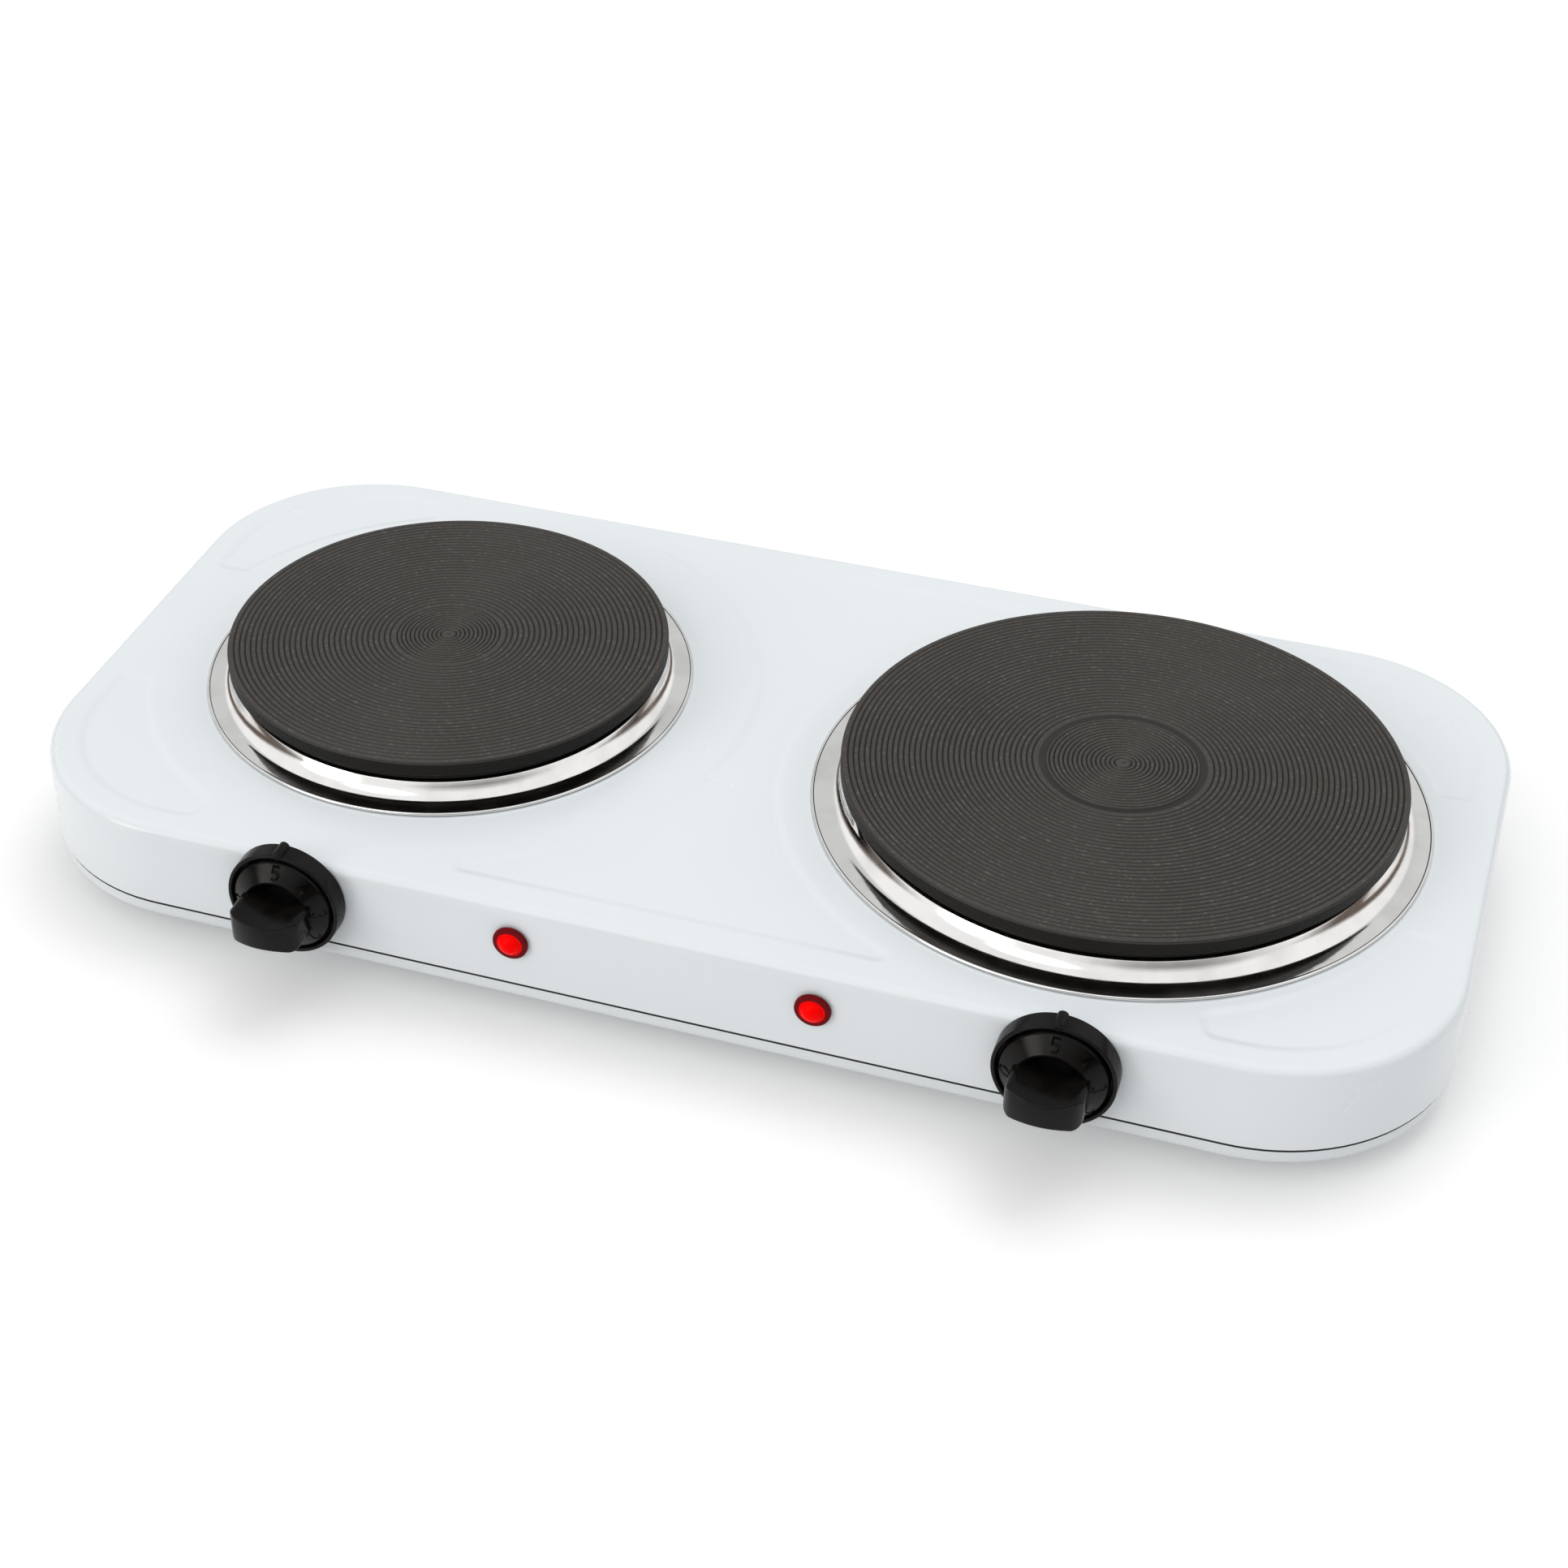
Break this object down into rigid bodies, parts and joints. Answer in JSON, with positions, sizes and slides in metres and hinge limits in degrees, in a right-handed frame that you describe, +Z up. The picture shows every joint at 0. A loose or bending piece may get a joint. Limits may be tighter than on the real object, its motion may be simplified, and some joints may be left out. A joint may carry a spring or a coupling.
{
  "type": "electric double hot plate",
  "caption": "Free-standing electric table cooker: low white enamelled housing with a small and a large cast-iron hot plate, drip rings, rotary controls and indicator lamps on the front.",
  "frame": {"origin": "centre of the base of the bounding box, on the surface the feet stand on", "axes": "+Z up, +X to the right seen from the front, so the front with the knobs faces -Y; the larger plate is on the +X side"},
  "size_m": [0.484, 0.2656, 0.063],
  "materials": {
    "enamel": "gloss enamel",
    "pan_enamel": "gloss enamel",
    "cast_iron": "matt, heat-proof coating, turned grooves",
    "stainless": "mirror polished stainless steel",
    "heating_wire": "oxidised",
    "cement": "matt insulating cement",
    "plated_steel": "zinc plated",
    "ceramic": "unglazed steatite",
    "rubber": "matt",
    "knob_plastic": "semi-gloss moulded phenolic",
    "bezel_plastic": "semi-gloss moulded phenolic",
    "brass": "rolled",
    "red_lens": "translucent, polished",
    "lamp_glass": "clear",
    "live_wire": "silicone insulation",
    "load_wire": "silicone insulation"
  },
  "bodies": {
    "cooker": {"top_housing": "enamel", "base_pan": "pan_enamel", "hotplate_small": "cast_iron", "drip_ring_small": "stainless", "heating_coil_small": "heating_wire", "element_cement_small": "cement", "element_cover_small": "plated_steel", "plate_stud_small": "plated_steel", "clamp_bar_small": "plated_steel", "stud_nut_small": "plated_steel", "plate_terminal_small": "ceramic", "hotplate_large": "cast_iron", "drip_ring_large": "stainless", "heating_coil_large": "heating_wire", "element_cement_large": "cement", "element_cover_large": "plated_steel", "plate_stud_large": "plated_steel", "clamp_bar_large": "plated_steel", "stud_nut_large": "plated_steel", "plate_terminal_large": "ceramic", "foot_front_left": "rubber", "foot_screw_front_left": "plated_steel", "corner_bracket_front_left": "plated_steel", "foot_front_right": "rubber", "foot_screw_front_right": "plated_steel", "corner_bracket_front_right": "plated_steel", "foot_rear_left": "rubber", "foot_screw_rear_left": "plated_steel", "corner_bracket_rear_left": "plated_steel", "foot_rear_right": "rubber", "foot_screw_rear_right": "plated_steel", "corner_bracket_rear_right": "plated_steel", "knob_bezel_left": "bezel_plastic", "thermostat_bracket_left": "plated_steel", "thermostat_screw_left_a": "plated_steel", "thermostat_screw_left_b": "plated_steel", "thermostat_stack_left": "ceramic", "bimetal_blade_left": "brass", "indicator_lens_left": "red_lens", "indicator_lamp_left": "lamp_glass", "wire_live_left": "live_wire", "wire_load_left": "load_wire", "knob_bezel_right": "bezel_plastic", "thermostat_bracket_right": "plated_steel", "thermostat_screw_right_a": "plated_steel", "thermostat_screw_right_b": "plated_steel", "thermostat_stack_right": "ceramic", "bimetal_blade_right": "brass", "indicator_lens_right": "red_lens", "indicator_lamp_right": "lamp_glass", "wire_live_right": "live_wire", "wire_load_right": "load_wire", "cable_gland": "bezel_plastic", "mains_terminal": "ceramic", "earth_screw": "brass"},
    "left_control": {"knob_left": "knob_plastic", "thermostat_shaft_left": "plated_steel"},
    "right_control": {"knob_right": "knob_plastic", "thermostat_shaft_right": "plated_steel"}
  },
  "joints": [
    {"name": "left_knob_turn", "type": "hinge", "parent": "cooker", "child": "left_control", "pos_m": [-0.128, -0.10675, 0.034], "axis": [0, 1, 0], "range_deg": [-270, 0]},
    {"name": "right_knob_turn", "type": "hinge", "parent": "cooker", "child": "right_control", "pos_m": [0.128, -0.10675, 0.034], "axis": [0, 1, 0], "range_deg": [-270, 0]}
  ]
}
